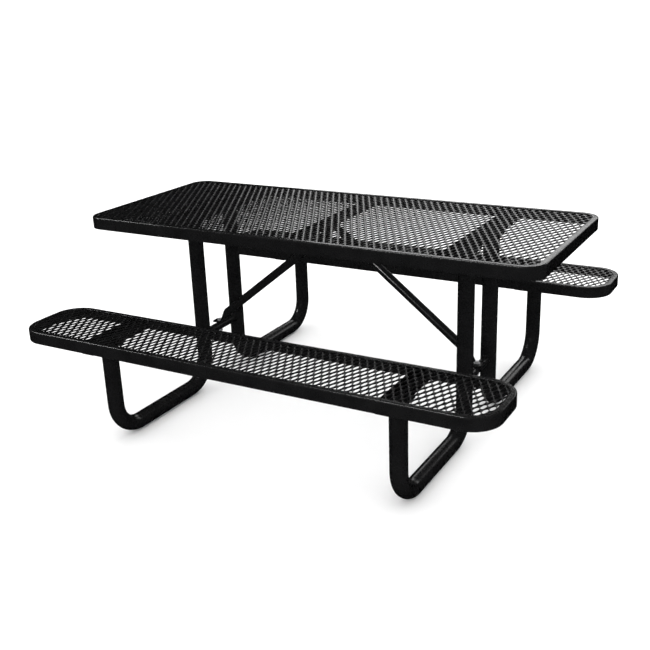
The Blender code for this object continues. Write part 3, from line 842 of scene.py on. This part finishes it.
def washer(name, node, place, radius, thickness, material):
    """Flat round washer with its edges rounded."""
    edge = thickness * WASHER_ROUNDING
    bore = BOLT_DIAMETER / 2 + WASHER_CLEARANCE
    profile = [
        (bore, edge, False), (bore + edge, 0.0, False),
        (radius - edge, 0.0, False), (radius, edge, False),
        (radius, thickness - edge, False), (radius - edge, thickness, False),
        (bore + edge, thickness, False), (bore, thickness - edge, False),
    ]
    piece(name, *turned(profile, 1.0, place, True), material, "bolt_steel", node)


def fasteners(material):
    """Plate bolts, the bolt, washer and nut of each lower brace end, and the joint at the top."""
    for end in ENDS:
        for side in SIDES:
            for kind in ("table", "seat"):
                for where in ("inner", "outer"):
                    node = f"plate_bolt_{kind}_{side}_{end}_{where}"
                    low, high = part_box(node)
                    middle = (low + high) / 2
                    flats = min(high.x - low.x, high.y - low.y)

                    def up(u, v, along):
                        return (middle.x + u, middle.y + v, low.z + along)

                    bolt(f"hex_{node}", node, flats, up, high.z - low.z, material)
        low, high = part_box(f"tie_bolt_{end}")
        middle = (low + high) / 2
        flats = min(high.x - low.x, high.y - low.y)

        def down(u, v, along):
            return (middle.x + u, middle.y - v, high.z - along)

        bolt(f"hex_tie_bolt_{end}", f"tie_bolt_{end}", flats, down, high.z - low.z, material)
        nut_low, nut_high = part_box(f"tie_nut_{end}")

        def nut_up(u, v, along):
            return (middle.x + u, middle.y + v, nut_low.z + along)

        nut(f"hex_tie_nut_{end}", f"tie_nut_{end}", flats, nut_up, nut_high.z - nut_low.z, material)
        wash_low, wash_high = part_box(f"tie_washer_{end}")

        def washer_up(u, v, along):
            return (middle.x + u, middle.y + v, wash_low.z + along)

        washer(f"round_tie_washer_{end}", f"tie_washer_{end}", washer_up,
               (wash_high.x - wash_low.x) / 2, wash_high.z - wash_low.z, material)
    low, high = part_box("apex_bolt")
    middle = (low + high) / 2
    flats = min(high.y - low.y, high.z - low.z)

    def inward(u, v, along):
        return (high.x - along, middle.y + u, middle.z - v)

    bolt("hex_apex_bolt", "apex_bolt", flats, inward, high.x - low.x, material)
    nut_low, nut_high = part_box("apex_nut")

    def nut_along(u, v, along):
        return (nut_low.x + along, middle.y + u, middle.z + v)

    nut("hex_apex_nut", "apex_nut", flats, nut_along, nut_high.x - nut_low.x, material)


# ---------------------------------------------------------------- folded and flat CAD pieces

def softened(node, material):
    """Keeps a CAD node and rounds its edges, as the coating does."""
    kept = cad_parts[node]
    kept.data.materials.clear()
    kept.data.materials.append(material)
    bevel = kept.modifiers.new("coated edges", "BEVEL")
    bevel.width = COATED_EDGE
    bevel.segments = COATED_EDGE_SEGMENTS
    bevel.limit_method = "ANGLE"
    bevel.angle_limit = COATED_EDGE_ANGLE


# ---------------------------------------------------------------- studio

def area_light(name, place, target, size, power, gloss_only=False):
    """Rectangular light at place, turned to target; gloss_only keeps it out of diffuse light."""
    data = bpy.data.lights.new(name, "AREA")
    data.shape = "RECTANGLE"
    data.size, data.size_y = size
    data.energy = power
    light = bpy.data.objects.new(name, data)
    light.location = place
    light.rotation_euler = (Vector(target) - Vector(place)).to_track_quat("-Z", "Y").to_euler()
    light.visible_diffuse = not gloss_only
    bpy.context.scene.collection.objects.link(light)
    return light


def floor():
    """Level floor, which the gloss of the table doesn't show."""
    r = FLOOR_REACH
    mesh = bpy.data.meshes.new("floor")
    mesh.from_pydata([(-r, -r, 0), (r, -r, 0), (r, r, 0), (-r, r, 0)], [], [(0, 1, 2, 3)])
    mesh.materials.append(studio_floor("studio_floor"))
    made = bpy.data.objects.new("floor", mesh)
    made.location.z = -FLOOR_GAP
    made.visible_glossy = False
    bpy.context.scene.collection.objects.link(made)


def sky():
    """Plain white surroundings, which the gloss of the table doesn't show."""
    world = bpy.data.worlds.new("studio")
    world.use_nodes = True
    background = world.node_tree.nodes["Background"]
    background.inputs["Color"].default_value = (1.0, 1.0, 1.0, 1.0)
    background.inputs["Strength"].default_value = SKY_STRENGTH
    world.cycles_visibility.glossy = False
    bpy.context.scene.world = world


def studio():
    floor()
    sky()
    area_light("back_panel", place=(0.0, 6.0, 2.8), target=(0.0, 0.0, 0.7),
               size=(7.6, 1.2), power=86)
    area_light("front_panel", place=(0.0, -6.0, 2.8), target=(0.0, 0.0, 0.7),
               size=(6.0, 1.6), power=22)
    area_light("overhead", place=(0.0, 0.5, 5.0), target=(0.0, 0.5, 0.0),
               size=(4.0, 3.0), power=12)
    area_light("left_strip", place=(-3.0, -0.8, 2.8), target=(-0.8, -0.6, 0.6),
               size=(0.3, 1.3), power=60, gloss_only=True)
    area_light("right_strip", place=(-0.35, -0.7, 3.5), target=(0.7, -0.7, 0.4),
               size=(0.3, 1.3), power=60, gloss_only=True)
    brace_light = area_light("brace_light", place=(0.1, -6.0, 2.1), target=(0.2, 0.0, 0.6),
                             size=(0.5, 0.5), power=90, gloss_only=True)
    lit = bpy.data.collections.new("lit_by_brace_light")
    for end in ENDS:
        lit.objects.link(bpy.data.objects[f"{end}_crushed_brace"])
    brace_light.light_linking.receiver_collection = lit
    bpy.context.scene.view_settings.view_transform = "Standard"


def camera():
    data = bpy.data.cameras.new("camera")
    data.lens = CAMERA_LENS
    data.sensor_width = SENSOR_WIDTH
    data.shift_x, data.shift_y = CAMERA_SHIFT
    made = bpy.data.objects.new("camera", data)
    made.location = CAMERA_PLACE
    made.rotation_euler = CAMERA_TURN
    bpy.context.scene.collection.objects.link(made)
    bpy.context.scene.camera = made


# ---------------------------------------------------------------- the table

def build():
    sheet = coated_steel("coated_sheet", gloss=0.24, specular=0.16,
                         ripple_scale=120.0, ripple=0.30)
    strand = coated_steel("coated_strand", gloss=0.27, specular=0.30,
                          ripple_scale=160.0, ripple=0.25)
    pipe = coated_steel("coated_pipe", gloss=0.24, specular=0.12,
                        ripple_scale=95.0, ripple=0.30)
    zinc = zinc_steel("bolt_steel")
    for prefix, radius in (("tabletop", TOP_CORNER_RADIUS), ("near_seat", SEAT_CORNER_RADIUS),
                           ("far_seat", SEAT_CORNER_RADIUS)):
        rim(prefix, radius, sheet)
        expanded_metal(prefix, radius - RIM_SHEET, strand)
    for end, sign in zip(ENDS, (-1, 1)):
        for side in SIDES:
            leg_pipe(side, end, pipe)
        tie_bar(end, pipe)
        brace(end, sign, pipe)
    welds(pipe)
    fasteners(zinc)
    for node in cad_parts:
        if node.startswith(("top_channel", "seat_channel", "centre_angle", "leg_plate")):
            softened(node, sheet)


build()
studio()
camera()
